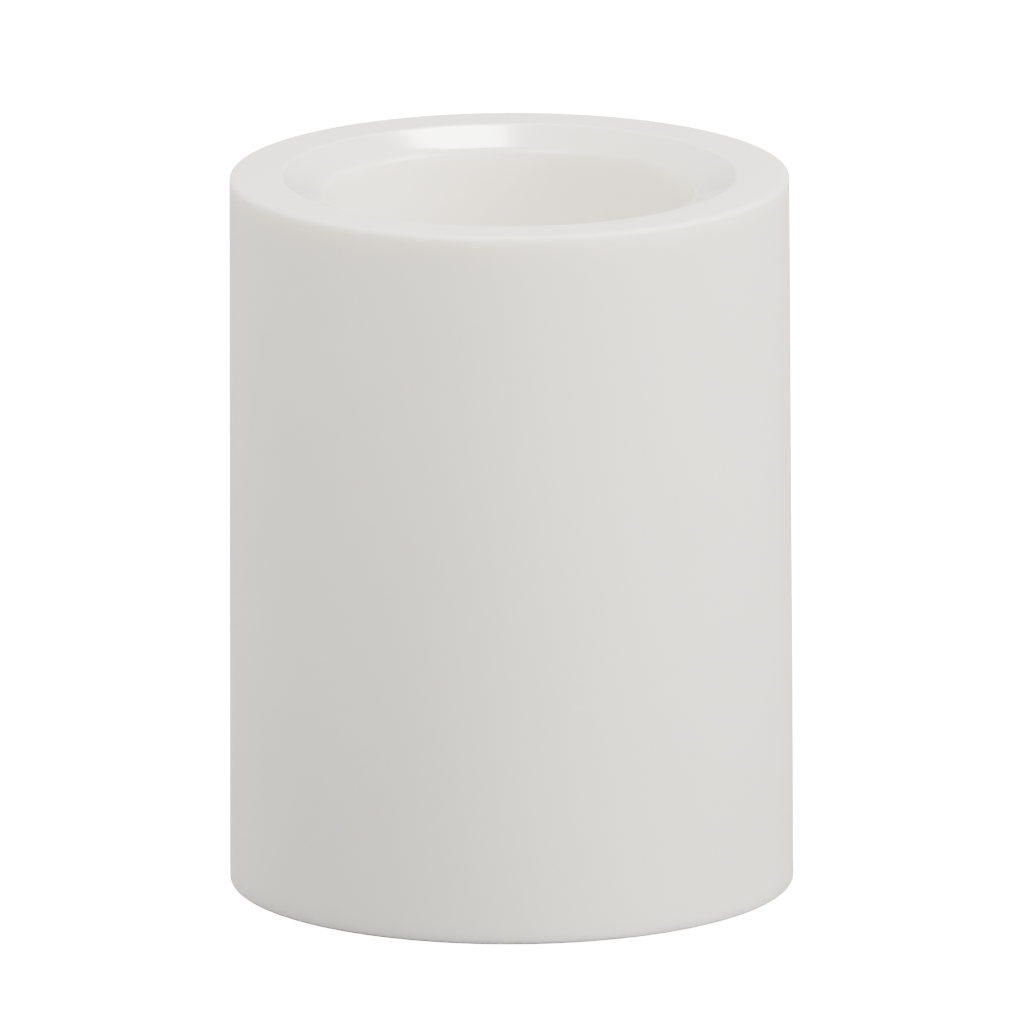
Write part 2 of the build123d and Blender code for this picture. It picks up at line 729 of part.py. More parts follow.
# ---------------------------------------------------------------- one file for each piece
pieces = [
    wax_shell.part, glue_bead.part, base_plate.part, battery_case.part, top_cap.part,
    flame_lens.part, led_bulb.part, led_leads.part, led_spacer.part,
    circuit_board.part, timer_chip.part, chip_legs.part, resistors.part, capacitor.part,
    timer_crystal.part, solder_joints.part,
    *cells, *deck_contacts, *springs, battery_door.part, bridge_contact.part,
    switch_can.part, switch_board.part, switch_terminals.part, switch_knob.part, switch_wiper.part,
    *screw_groups, *wires,
]
os.makedirs("parts", exist_ok=True)
for piece in pieces:
    export_step(piece, f"parts/{piece.label}.step")
print(len(pieces), "pieces written")
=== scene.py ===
"""Looks of a flameless LED pillar candle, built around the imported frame.

The wax, the flame lens, the two cells, the springs and the screws are made here with Geometry Nodes, and
they stand for the CAD nodes of the same names. Every other CAD node keeps its shape and gets a finish. Sizes
are in millimetres and are turned to metres where a mesh is made.
"""

import logging
import math
from dataclasses import dataclass
from enum import Enum

import bmesh
import bpy
from bpy.types import Material, Mesh, Node, NodeSocket, NodeTree, Object
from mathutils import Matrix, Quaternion, Vector


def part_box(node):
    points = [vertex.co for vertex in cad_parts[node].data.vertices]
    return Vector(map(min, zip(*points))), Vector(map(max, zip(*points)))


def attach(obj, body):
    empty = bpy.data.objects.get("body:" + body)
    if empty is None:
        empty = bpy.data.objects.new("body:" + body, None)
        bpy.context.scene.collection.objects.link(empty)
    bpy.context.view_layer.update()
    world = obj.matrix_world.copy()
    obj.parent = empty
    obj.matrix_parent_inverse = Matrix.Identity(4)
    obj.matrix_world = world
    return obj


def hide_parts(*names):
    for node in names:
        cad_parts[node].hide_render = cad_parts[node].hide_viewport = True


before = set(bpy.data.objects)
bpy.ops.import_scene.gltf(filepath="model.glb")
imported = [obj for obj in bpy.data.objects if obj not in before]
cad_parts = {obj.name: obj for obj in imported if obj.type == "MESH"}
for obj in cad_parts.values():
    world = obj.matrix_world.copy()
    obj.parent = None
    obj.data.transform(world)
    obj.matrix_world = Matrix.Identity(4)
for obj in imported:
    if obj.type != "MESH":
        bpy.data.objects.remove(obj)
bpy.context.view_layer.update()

MM = 0.001
MIX_A, MIX_B, MIX_RESULT = 6, 7, 2  # the colour sockets of a Mix node
WELD = 0.002 * MM  # points nearer than this are joined
COIL_STEPS = 40  # along each turn of a spring
WIRE_SIDES = 14
log = logging.getLogger("candle")


# ---- helpers
def to_linear(code: str) -> tuple[float, float, float, float]:
    """Turns an sRGB hex colour into the linear colour that a shader takes.

    Args:
        code: The colour as "#RRGGBB".

    Returns:
        Red, green, blue and an alpha of 1.
    """
    channels = [int(code[start:start + 2], 16) / 255 for start in (1, 3, 5)]
    linear = [c / 12.92 if c <= 0.04045 else ((c + 0.055) / 1.055) ** 2.4 for c in channels]
    return (*linear, 1.0)


def add_node(tree: NodeTree, kind: str, settings: dict | None = None, links: dict | None = None) -> Node:
    """Adds one node to a shader or geometry tree.

    Args:
        tree: The tree that the node joins.
        kind: The node's type name.
        settings: Values for the node's own properties.
        links: For each input, by name or number, a socket to link from or a value to set.

    Returns:
        The new node.
    """
    node = tree.nodes.new(kind)
    for name, value in (settings or {}).items():
        setattr(node, name, value)
    for key, value in (links or {}).items():
        if isinstance(value, NodeSocket):
            tree.links.new(value, node.inputs[key])
        else:
            node.inputs[key].default_value = value
    return node


def calculate(tree: NodeTree, operation: str, first: NodeSocket | float,
              second: NodeSocket | float) -> NodeSocket:
    """Adds a maths node to a tree and gives the socket with its result."""
    return add_node(tree, "ShaderNodeMath", {"operation": operation}, {0: first, 1: second}).outputs[0]


def new_tree(name: str, inputs: dict[str, str]) -> NodeTree:
    """Starts a Geometry Nodes tree with named inputs and one mesh output.

    Args:
        name: The tree's name.
        inputs: The type of each input socket, by its name.

    Returns:
        The tree, with no nodes in it yet.
    """
    tree = bpy.data.node_groups.new(name, "GeometryNodeTree")
    for label, kind in inputs.items():
        tree.interface.new_socket(label, in_out="INPUT", socket_type=f"NodeSocket{kind}")
    tree.interface.new_socket("Mesh", in_out="OUTPUT", socket_type="NodeSocketGeometry")
    return tree


def close_tree(tree: NodeTree, shape: NodeSocket, material: NodeSocket) -> None:
    """Gives a tree's shape its material and sends it to the tree's output."""
    solid = add_node(tree, "GeometryNodeRealizeInstances", None, {"Geometry": shape})
    dressed = add_node(tree, "GeometryNodeSetMaterial", None,
                       {"Geometry": solid.outputs[0], "Material": material})
    add_node(tree, "NodeGroupOutput", None, {"Mesh": dressed.outputs[0]})


def grow(name: str, source: Mesh, tree: NodeTree, values: dict, sharp_deg: float = 40.0) -> Object:
    """Runs a Geometry Nodes tree on a mesh and keeps the result as a plain piece.

    Args:
        name: The piece's name.
        source: The mesh that the tree starts from.
        tree: The tree.
        values: A value for each of the tree's named inputs.
        sharp_deg: Edges that turn by more than this are shaded sharp.

    Returns:
        The finished piece, with its faces outwards and no modifier left on it.
    """
    maker = bpy.data.objects.new(name, source)
    bpy.context.scene.collection.objects.link(maker)
    modifier = maker.modifiers.new(tree.name, "NODES")
    modifier.node_group = tree
    for socket in tree.interface.items_tree:
        if socket.in_out == "INPUT" and socket.name in values:
            modifier[socket.identifier] = values[socket.name]
    graph = bpy.context.evaluated_depsgraph_get()
    mesh = bpy.data.meshes.new_from_object(maker.evaluated_get(graph))
    bpy.data.objects.remove(maker)
    shell = bmesh.new()
    shell.from_mesh(mesh)
    stray = [edge for edge in shell.edges if not edge.link_faces]  # left along an axis that an outline meets
    bmesh.ops.delete(shell, geom=stray, context="EDGES")
    bmesh.ops.recalc_face_normals(shell, faces=shell.faces)
    shell.to_mesh(mesh)
    shell.free()
    mesh.set_sharp_from_angle(angle=math.radians(sharp_deg))
    mesh.name = name
    piece = bpy.data.objects.new(name, mesh)
    bpy.context.scene.collection.objects.link(piece)
    return piece


def stand_for(piece: Object, node: str, body: str) -> None:
    """Puts a finished piece in a CAD node's place and reports it.

    Args:
        piece: The finished piece.
        node: The CAD node that it stands for.
        body: The body that it rides on.
    """
    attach(piece, body)
    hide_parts(node)
    log.info("%s: %d faces, on %s, for %s", piece.name, len(piece.data.polygons), body, node)


def dress(surfaces: dict[str, "Surface"]) -> None:
    """Gives CAD nodes their finishes and reports each.

    Args:
        surfaces: The surface of each node, by the node's name.
    """
    for node, surface in surfaces.items():
        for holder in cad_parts[node].material_slots:
            holder.material = surface.value.material()
        log.info("%s: CAD node, %s", node, surface.value.name)


# ---- outlines and the trees that use them
@dataclass(frozen=True)
class Corner:
    """One corner of an outline that is turned round an upright axis, in millimetres.

    The ripple and finish values fade in a straight line to those of the next corner. Ripple is how much of
    the lathe's skin or thread shows, and finish is what a material's two surfaces are told apart by.
    """

    out: float
    up: float
    round: float = 0.0
    ripple: float = 0.0
    finish: float = 0.0
    step: float = 1.5  # the longest edge on the run to the next corner


def trace(corners: list[Corner], arc_steps: int = 6) -> list[tuple[float, float, float, float]]:
    """Follows an outline round its corners.

    Args:
        corners: The outline's corners, in order.
        arc_steps: The number of edges round each rounded corner.

    Returns:
        The distance out, the height, the ripple and the finish of each point.
    """
    spots = [Vector((corner.out, corner.up)) for corner in corners]
    bends = []
    for index, (corner, here) in enumerate(zip(corners, spots)):
        if not corner.round:
            bends.append([here])
            continue
        back = (spots[index - 1] - here).normalized()
        ahead = (spots[index + 1] - here).normalized()
        half = back.angle(ahead) / 2
        centre = here + (back + ahead).normalized() * corner.round / math.sin(half)
        first = here + back * corner.round / math.tan(half) - centre
        last = here + ahead * corner.round / math.tan(half) - centre
        turned = [first.slerp(last, step / arc_steps).normalized() for step in range(arc_steps + 1)]
        bends.append([centre + way * corner.round for way in turned])
    points = []
    for index, (corner, bend) in enumerate(zip(corners, bends)):
        points += [(*spot, corner.ripple, corner.finish) for spot in bend]
        if index + 1 == len(corners):
            break
        after = corners[index + 1]
        run = bends[index + 1][0] - bend[-1]
        cuts = math.ceil(run.length / corner.step)
        for cut in range(1, cuts):
            share = cut / cuts
            ripple = corner.ripple + (after.ripple - corner.ripple) * share
            finish = corner.finish + (after.finish - corner.finish) * share
            points.append((*(bend[-1] + run * share), ripple, finish))
    return points


def outline_mesh(name: str, corners: list[Corner]) -> Mesh:
    """Makes the row of points that the lathe tree turns, with their ripple and finish as attributes."""
    points = trace(corners)
    mesh = bpy.data.meshes.new(name)
    mesh.from_pydata([(out * MM, 0, up * MM) for out, up, _, _ in points], [], [])
    for column, label in ((2, "ripple"), (3, "finish")):
        layer = mesh.attributes.new(label, "FLOAT", "POINT")
        layer.data.foreach_set("value", [point[column] for point in points])
    return mesh


def build_lathe_tree() -> NodeTree:
    """Builds the tree that turns a row of points round an upright axis.

    Where the points' ripple attribute isn't 0, it adds an uneven cast skin or a screw thread.

    Returns:
        The tree.
    """
    tree = new_tree("lathe", {
        "Outline": "Geometry", "Segments": "Int", "Axis": "Vector", "Skin Depth": "Float",
        "Skin Scale": "Float", "Seed": "Float", "Thread Depth": "Float", "Thread Pitch": "Float",
        "Material": "Material",
    })
    given = add_node(tree, "NodeGroupInput").outputs
    count = add_node(tree, "GeometryNodeAttributeDomainSize", None, {"Geometry": given["Outline"]}).outputs[0]
    columns = calculate(tree, "ADD", given["Segments"], 1.0)
    grid = add_node(tree, "GeometryNodeMeshGrid", None, {"Vertices X": columns, "Vertices Y": count})
    index = add_node(tree, "GeometryNodeInputIndex").outputs[0]
    column, row = (
        add_node(tree, "FunctionNodeIntegerMath", {"operation": operation}, {0: index, 1: count}).outputs[0]
        for operation in ("DIVIDE", "MODULO")
    )

    # each column of the grid is the outline, turned by its share of the full circle
    here = add_node(tree, "GeometryNodeInputPosition").outputs[0]
    drawn = add_node(tree, "GeometryNodeSampleIndex", {"data_type": "FLOAT_VECTOR", "domain": "POINT"},
                     {"Geometry": given["Outline"], "Value": here, "Index": row})
    share = calculate(tree, "DIVIDE", column, given["Segments"])
    angle = calculate(tree, "MULTIPLY", share, math.tau)
    turned = add_node(tree, "ShaderNodeVectorRotate", {"rotation_type": "Z_AXIS"},
                      {"Vector": drawn.outputs[0], "Angle": angle})
    shape = add_node(tree, "GeometryNodeSetPosition", None,
                     {"Geometry": grid.outputs["Mesh"], "Position": turned.outputs[0]}).outputs[0]
    for label in ("ripple", "finish"):
        value = add_node(tree, "GeometryNodeInputNamedAttribute", {"data_type": "FLOAT"}, {"Name": label})
        taken = add_node(tree, "GeometryNodeSampleIndex", {"data_type": "FLOAT", "domain": "POINT"},
                         {"Geometry": given["Outline"], "Value": value.outputs[0], "Index": row})
        shape = add_node(tree, "GeometryNodeStoreNamedAttribute", {"data_type": "FLOAT", "domain": "POINT"},
                         {"Geometry": shape, "Name": label, "Value": taken.outputs[0]}).outputs[0]
    shape = add_node(tree, "GeometryNodeMergeByDistance", None,
                     {"Geometry": shape, "Distance": WELD}).outputs[0]

    # the uneven skin follows a slow noise along the surface's normal
    amount = add_node(tree, "GeometryNodeInputNamedAttribute", {"data_type": "FLOAT"}, {"Name": "ripple"})
    noise = add_node(tree, "ShaderNodeTexNoise", {"noise_dimensions": "4D"},
                     {"Vector": here, "W": given["Seed"], "Scale": given["Skin Scale"], "Detail": 2.0})
    swing = calculate(tree, "SUBTRACT", noise.outputs[0], 0.5)
    depth = calculate(tree, "MULTIPLY", swing, given["Skin Depth"])
    shift = calculate(tree, "MULTIPLY", depth, amount.outputs[0])
    normal = add_node(tree, "GeometryNodeInputNormal").outputs[0]
    push = add_node(tree, "ShaderNodeVectorMath", {"operation": "SCALE"}, {0: normal, "Scale": shift})
    shape = add_node(tree, "GeometryNodeSetPosition", None,
                     {"Geometry": shape, "Offset": push.outputs[0]}).outputs[0]

    # the thread's ridge climbs by one pitch in each turn
    parts = add_node(tree, "ShaderNodeSeparateXYZ", None, {0: here}).outputs
    bearing = calculate(tree, "ARCTAN2", parts["Y"], parts["X"])
    turns = calculate(tree, "DIVIDE", bearing, math.tau)
    climbs = calculate(tree, "DIVIDE", parts["Z"], given["Thread Pitch"])
    phase = calculate(tree, "SUBTRACT", climbs, turns)
    ridge = calculate(tree, "PINGPONG", phase, 0.5)
    crest = calculate(tree, "MULTIPLY", ridge, given["Thread Depth"])
    lift = calculate(tree, "MULTIPLY", crest, amount.outputs[0])
    flat = add_node(tree, "ShaderNodeCombineXYZ", None, {"X": parts["X"], "Y": parts["Y"]})
    outward = add_node(tree, "ShaderNodeVectorMath", {"operation": "NORMALIZE"}, {0: flat.outputs[0]})
    rise = add_node(tree, "ShaderNodeVectorMath", {"operation": "SCALE"},
                    {0: outward.outputs[0], "Scale": lift})
    place = add_node(tree, "ShaderNodeVectorMath", {"operation": "ADD"},
                     {0: rise.outputs[0], 1: given["Axis"]})
    shape = add_node(tree, "GeometryNodeSetPosition", None,
                     {"Geometry": shape, "Offset": place.outputs[0]}).outputs[0]
    smooth = add_node(tree, "GeometryNodeSetShadeSmooth", None, {"Geometry": shape})
    close_tree(tree, smooth.outputs[0], given["Material"])
    return tree


def build_spring_tree() -> NodeTree:
    """Builds the tree that winds a conical spring from its seat to its tip.

    A modifier's tree has to take geometry, and this one starts from nothing, so that input goes unused.
    """
    tree = new_tree("spring", {
        "Unused": "Geometry", "Turns": "Float", "Seat Radius": "Float", "Tip Radius": "Float",
        "Rise": "Float", "Wire Radius": "Float", "Turned Over": "Vector", "Seat": "Vector",
        "Material": "Material",
    })
    given = add_node(tree, "NodeGroupInput").outputs
    coil = add_node(tree, "GeometryNodeCurveSpiral", None, {
        "Resolution": COIL_STEPS, "Rotations": given["Turns"], "Start Radius": given["Seat Radius"],
        "End Radius": given["Tip Radius"], "Height": given["Rise"], "Reverse": True,
    })
    section = add_node(tree, "GeometryNodeCurvePrimitiveCircle", None,
                       {"Resolution": WIRE_SIDES, "Radius": given["Wire Radius"]})
    wire = add_node(tree, "GeometryNodeCurveToMesh", None, {
        "Curve": coil.outputs[0], "Profile Curve": section.outputs[0], "Fill Caps": True,
    })
    placed = add_node(tree, "GeometryNodeTransform", None, {
        "Geometry": wire.outputs[0], "Rotation": given["Turned Over"], "Translation": given["Seat"],
    })
    smooth = add_node(tree, "GeometryNodeSetShadeSmooth", None, {"Geometry": placed.outputs[0]})
    close_tree(tree, smooth.outputs[0], given["Material"])
    return tree


def build_fastener_tree() -> NodeTree:
    """Builds the tree that cuts a cross recess in a turned screw and sets a copy at each point."""
    tree = new_tree("fasteners", {
        "Places": "Geometry", "Screw": "Object", "Drive Length": "Float", "Drive Width": "Float",
        "Drive Depth": "Float", "Drive Height": "Float", "Turn": "Rotation", "Material": "Material",
    })
    given = add_node(tree, "NodeGroupInput").outputs
    screw = add_node(tree, "GeometryNodeObjectInfo", None, {"Object": given["Screw"]})
    arms = []
    for long_side, short_side in (("Drive Length", "Drive Width"), ("Drive Width", "Drive Length")):
        size = add_node(tree, "ShaderNodeCombineXYZ", None,
                        {"X": given[long_side], "Y": given[short_side], "Z": given["Drive Depth"]})
        arms.append(add_node(tree, "GeometryNodeMeshCube", None, {"Size": size.outputs[0]}))
    height = add_node(tree, "ShaderNodeCombineXYZ", None, {"Z": given["Drive Height"]})
    body = screw.outputs["Geometry"]
    for arm in arms:
        placed = add_node(tree, "GeometryNodeTransform", None,
                          {"Geometry": arm.outputs["Mesh"], "Translation": height.outputs[0]})
        body = add_node(tree, "GeometryNodeMeshBoolean", {"operation": "DIFFERENCE", "solver": "EXACT"},
                        {0: body, 1: placed.outputs[0]}).outputs[0]
    copies = add_node(tree, "GeometryNodeInstanceOnPoints", None,
                      {"Points": given["Places"], "Instance": body, "Rotation": given["Turn"]})
    close_tree(tree, copies.outputs[0], given["Material"])
    return tree


@dataclass
class Workshop:
    """Holds the Geometry Nodes trees and makes pieces with them."""

    lathe: NodeTree
    spring: NodeTree
    fasteners: NodeTree

    def turn(self, name: str, corners: list[Corner], finish: "Finish", segments: int,
             axis: tuple[float, float] = (0.0, 0.0), **extra: float) -> Object:
        """Turns an outline round an upright axis.

        Args:
            name: The piece's name.
            corners: The outline.
            finish: The piece's finish.
            segments: The number of faces round the axis.
            axis: Where the axis stands, as x and y in millimetres.
            **extra: More of the lathe tree's inputs, with underscores for the spaces in their names.

        Returns:
            The finished piece.
        """
        values = {
            "Segments": segments, "Axis": (axis[0] * MM, axis[1] * MM, 0.0), "Skin Depth": 0.0,
            "Skin Scale": 1.0, "Seed": 0.0, "Thread Depth": 0.0, "Thread Pitch": 1.0,
            "Material": finish.material(),
        }
        values.update({label.replace("_", " "): value for label, value in extra.items()})
        return grow(name, outline_mesh(name, corners), self.lathe, values)


# ---- finishes
@dataclass(frozen=True)
class Finish:
    """A real material and the way its surface was made."""

    name: str

    def material(self) -> Material:
        """Gives this finish's material, and makes it the first time."""
        made = bpy.data.materials.get(self.name)
        if made:
            return made
        made = bpy.data.materials.new(self.name)
        made.use_nodes = True
        made.node_tree.nodes.clear()
        shader = add_node(made.node_tree, "ShaderNodeBsdfPrincipled")
        add_node(made.node_tree, "ShaderNodeOutputMaterial", None, {"Surface": shader.outputs[0]})
        place = add_node(made.node_tree, "ShaderNodeTexCoord").outputs["Object"]
        self.paint(made.node_tree, shader, place)
        return made

    def paint(self, tree: NodeTree, shader: Node, place: NodeSocket) -> None:
        """Adds this finish's colour, gloss and relief to its shader."""
        raise NotImplementedError


def add_noise(tree: NodeTree, place: NodeSocket, size_mm: float, detail: float = 2.0) -> NodeSocket:
    """Adds a noise with features of a given size and gives the socket with its value."""
    links = {"Vector": place, "Scale": 1 / (size_mm * MM), "Detail": detail}
    return add_node(tree, "ShaderNodeTexNoise", None, links).outputs[0]


def blend(tree: NodeTree, share: NodeSocket, first: str, second: str | NodeSocket) -> NodeSocket:
    """Mixes two colours, given as codes or as a socket. The second shows where the share is 1."""
    links = {0: share, MIX_A: to_linear(first)}
    links[MIX_B] = to_linear(second) if isinstance(second, str) else second
    return add_node(tree, "ShaderNodeMix", {"data_type": "RGBA"}, links).outputs[MIX_RESULT]


def spread(tree: NodeTree, value: NodeSocket, low: NodeSocket | float,
           high: float) -> NodeSocket:
    """Maps a value between 0 and 1 onto another range."""
    links = {"Value": value, "To Min": low, "To Max": high}
    return add_node(tree, "ShaderNodeMapRange", None, links).outputs[0]


def emboss(tree: NodeTree, height: NodeSocket, strength: float, depth_mm: float,
           **under: NodeSocket) -> NodeSocket:
    """Adds relief that is shaded and not modelled, on top of any Normal that is passed in."""
    links = {"Strength": strength, "Distance": depth_mm * MM, "Height": height, **under}
    return add_node(tree, "ShaderNodeBump", None, links).outputs[0]


def coat(tree: NodeTree, shader: Node, colour: NodeSocket,
         roughness: NodeSocket, relief: NodeSocket) -> None:
    """Links a finish's colour, roughness and relief to its shader."""
    for label, socket in (("Base Color", colour), ("Roughness", roughness), ("Normal", relief)):
        tree.links.new(socket, shader.inputs[label])


@dataclass(frozen=True)
class CastParaffin(Finish):
    """Paraffin wax cast in a steel mould.

    Light sinks a few millimetres in, so that shadows are soft and thin edges glow. The mould leaves a satin
    skin with a faint frost. The recess was melted after casting, so that it is glossier.
    """

    colour: str = "#ECE7DE"
    cloud_colour: str = "#E6E0D4"
    depth_mm: float = 3.5
    cloud_mm: float = 26.0
    frost_mm: float = 0.9
    frost_depth_mm: float = 0.02
    swell_mm: float = 7.0
    swell_depth_mm: float = 0.05
    satin: tuple[float, float] = (0.36, 0.46)
    melted_roughness: float = 0.13
    ior: float = 1.44
    reach: tuple[float, float, float] = (1.0, 0.9, 0.72)  # red light sinks in the furthest

    def paint(self, tree: NodeTree, shader: Node, place: NodeSocket) -> None:
        """Adds this finish's colour, gloss and relief to its shader."""
        melted = add_node(tree, "ShaderNodeAttribute", {"attribute_name": "finish"}).outputs["Fac"]
        cloud = add_noise(tree, place, self.cloud_mm, 3.0)
        colour = blend(tree, cloud, self.colour, self.cloud_colour)
        frost = add_noise(tree, place, self.frost_mm)
        swell = add_noise(tree, place, self.swell_mm, 1.0)
        satin = spread(tree, cloud, *self.satin)
        gloss = spread(tree, melted, satin, self.melted_roughness)
        broad = emboss(tree, swell, 0.35, self.swell_depth_mm)
        fine = emboss(tree, frost, 0.25, self.frost_depth_mm, Normal=broad)
        coat(tree, shader, colour, gloss, fine)
        shader.inputs["IOR"].default_value = self.ior
        shader.inputs["Subsurface Weight"].default_value = 1.0
        shader.inputs["Subsurface Radius"].default_value = self.reach
        shader.inputs["Subsurface Scale"].default_value = self.depth_mm * MM


@dataclass(frozen=True)
class Plastic(Finish):
    """A plastic, resin or lacquer whose surface carries an even fine grain.

    The grain breaks the highlight up, and slow flow clouds keep the colour from looking flat.
    """

    colour: str
    cloud_colour: str
    roughness: float
    grain_mm: float
    relief_mm: float
    ior: float = 1.5
    cloud_mm: float = 8.0
    depth_mm: float = 0.0
    clearness: float = 0.0
    swing: float = 0.06  # the roughness rises and falls by this much

    def paint(self, tree: NodeTree, shader: Node, place: NodeSocket) -> None:
        """Adds this finish's colour, gloss and relief to its shader."""
        cloud = add_noise(tree, place, self.cloud_mm, 3.0)
        colour = blend(tree, cloud, self.colour, self.cloud_colour)
        grain = add_noise(tree, place, self.grain_mm)
        gloss = spread(tree, grain, self.roughness - self.swing, self.roughness + self.swing)
        relief = emboss(tree, grain, 0.6, self.relief_mm)
        coat(tree, shader, colour, gloss, relief)
        shader.inputs["IOR"].default_value = self.ior
        shader.inputs["Transmission Weight"].default_value = self.clearness
        if self.depth_mm:
            shader.inputs["Subsurface Weight"].default_value = 1.0
            shader.inputs["Subsurface Scale"].default_value = self.depth_mm * MM


@dataclass(frozen=True)
class Metal(Finish):
    """A bare or plated metal.

    Drawing, rolling or plating leaves fine lines or a fine bloom, which spread the highlight one way, and
    handling leaves duller patches.
    """

    colour: str
    dull_colour: str
    roughness: float
    grain_mm: float
    stretch: tuple[float, float, float] = (1.0, 1.0, 1.0)  # below 1 along the direction of the lines
    patch_mm: float = 5.0
    relief_mm: float = 0.01
    swing: float = 0.08  # the roughness rises and falls by this much

    def paint(self, tree: NodeTree, shader: Node, place: NodeSocket) -> None:
        """Adds this finish's colour, gloss and relief to its shader."""
        drawn = add_node(tree, "ShaderNodeMapping", None, {"Vector": place, "Scale": self.stretch})
        lines = add_noise(tree, drawn.outputs[0], self.grain_mm, 3.0)
        patch = add_noise(tree, place, self.patch_mm, 4.0)
        colour = blend(tree, patch, self.colour, self.dull_colour)
        gloss = spread(tree, patch, self.roughness - self.swing, self.roughness + self.swing)
        relief = emboss(tree, lines, 0.3, self.relief_mm)
        coat(tree, shader, colour, gloss, relief)
        shader.inputs["Metallic"].default_value = 1.0


@dataclass(frozen=True)
class SolderMaskLaminate(Finish):
    """Glass-fibre laminate under a printed solder mask.

    The weave prints through the mask as a faint square lattice, and the mask pools to a wet-looking gloss.
    """

    colour: str = "#1F6B36"
    thread_colour: str = "#2C7D45"
    weave_mm: float = 0.5  # a real thread is about 0.4 mm wide
    waver: float = 0.4
    relief_mm: float = 0.02
    wet: tuple[float, float] = (0.24, 0.34)
    ior: float = 1.52

    def paint(self, tree: NodeTree, shader: Node, place: NodeSocket) -> None:
        """Adds this finish's colour, gloss and relief to its shader."""
        scale = math.pi / 10 / (self.weave_mm * MM)
        across, along = (
            add_node(tree, "ShaderNodeTexWave", {"bands_direction": direction},
                     {"Vector": place, "Scale": scale, "Distortion": self.waver}).outputs["Fac"]
            for direction in ("X", "Y")
        )
        weave = calculate(tree, "MULTIPLY", across, along)
        colour = blend(tree, weave, self.colour, self.thread_colour)
        relief = emboss(tree, weave, 0.3, self.relief_mm)
        coat(tree, shader, colour, spread(tree, weave, *self.wet), relief)
        shader.inputs["IOR"].default_value = self.ior


@dataclass(frozen=True)
class SleevedCell(Finish):
    """A nickel-plated steel can in a shrunk film sleeve.

    Where the finish attribute is 1 the film shows, which is smooth and bright, with one pale band. Where it
    is 0 the bare plated end shows, with a fine drawn bloom.
    """

    film_colour: str = "#3C5468"
    band_colour: str = "#C7CBCC"
    steel_colour: str = "#B9B8B2"
    band_from_mm: float = 42.0
    band_to_mm: float = 52.0
    bloom_mm: float = 0.6
    bright: tuple[float, float] = (0.24, 0.34)
    relief_mm: float = 0.01

    def paint(self, tree: NodeTree, shader: Node, place: NodeSocket) -> None:
        """Adds this finish's colour, gloss and relief to its shader."""
        film = add_node(tree, "ShaderNodeAttribute", {"attribute_name": "finish"}).outputs["Fac"]
        height = add_node(tree, "ShaderNodeSeparateXYZ", None, {0: place}).outputs["Z"]
        above = calculate(tree, "GREATER_THAN", height, self.band_from_mm * MM)
        below = calculate(tree, "LESS_THAN", height, self.band_to_mm * MM)
        band = calculate(tree, "MULTIPLY", above, below)
        printed = blend(tree, band, self.film_colour, self.band_colour)
        colour = blend(tree, film, self.steel_colour, printed)
        bloom = add_noise(tree, place, self.bloom_mm)
        tree.links.new(calculate(tree, "SUBTRACT", 1.0, film), shader.inputs["Metallic"])
        gloss = spread(tree, bloom, *self.bright)
        coat(tree, shader, colour, gloss, emboss(tree, bloom, 0.2, self.relief_mm))


@dataclass(frozen=True)
class LitPaper(Finish):
    """Plain matt sheet stock. The floor's glows, so that it leaves only a trace of a contact shadow."""

    colour: str = "#FBFBFB"
    fibre_colour: str = "#F7F7F7"
    fibre_mm: float = 3.0
    glow: float = 19.0
    roughness: float = 0.85

    def paint(self, tree: NodeTree, shader: Node, place: NodeSocket) -> None:
        """Adds this finish's colour, gloss and glow to its shader."""
        fibre = add_noise(tree, place, self.fibre_mm)
        colour = blend(tree, fibre, self.colour, self.fibre_colour)
        tree.links.new(colour, shader.inputs["Base Color"])
        shader.inputs["Roughness"].default_value = self.roughness
        shader.inputs["Emission Color"].default_value = (1.0, 1.0, 1.0, 1.0)
        shader.inputs["Emission Strength"].default_value = self.glow


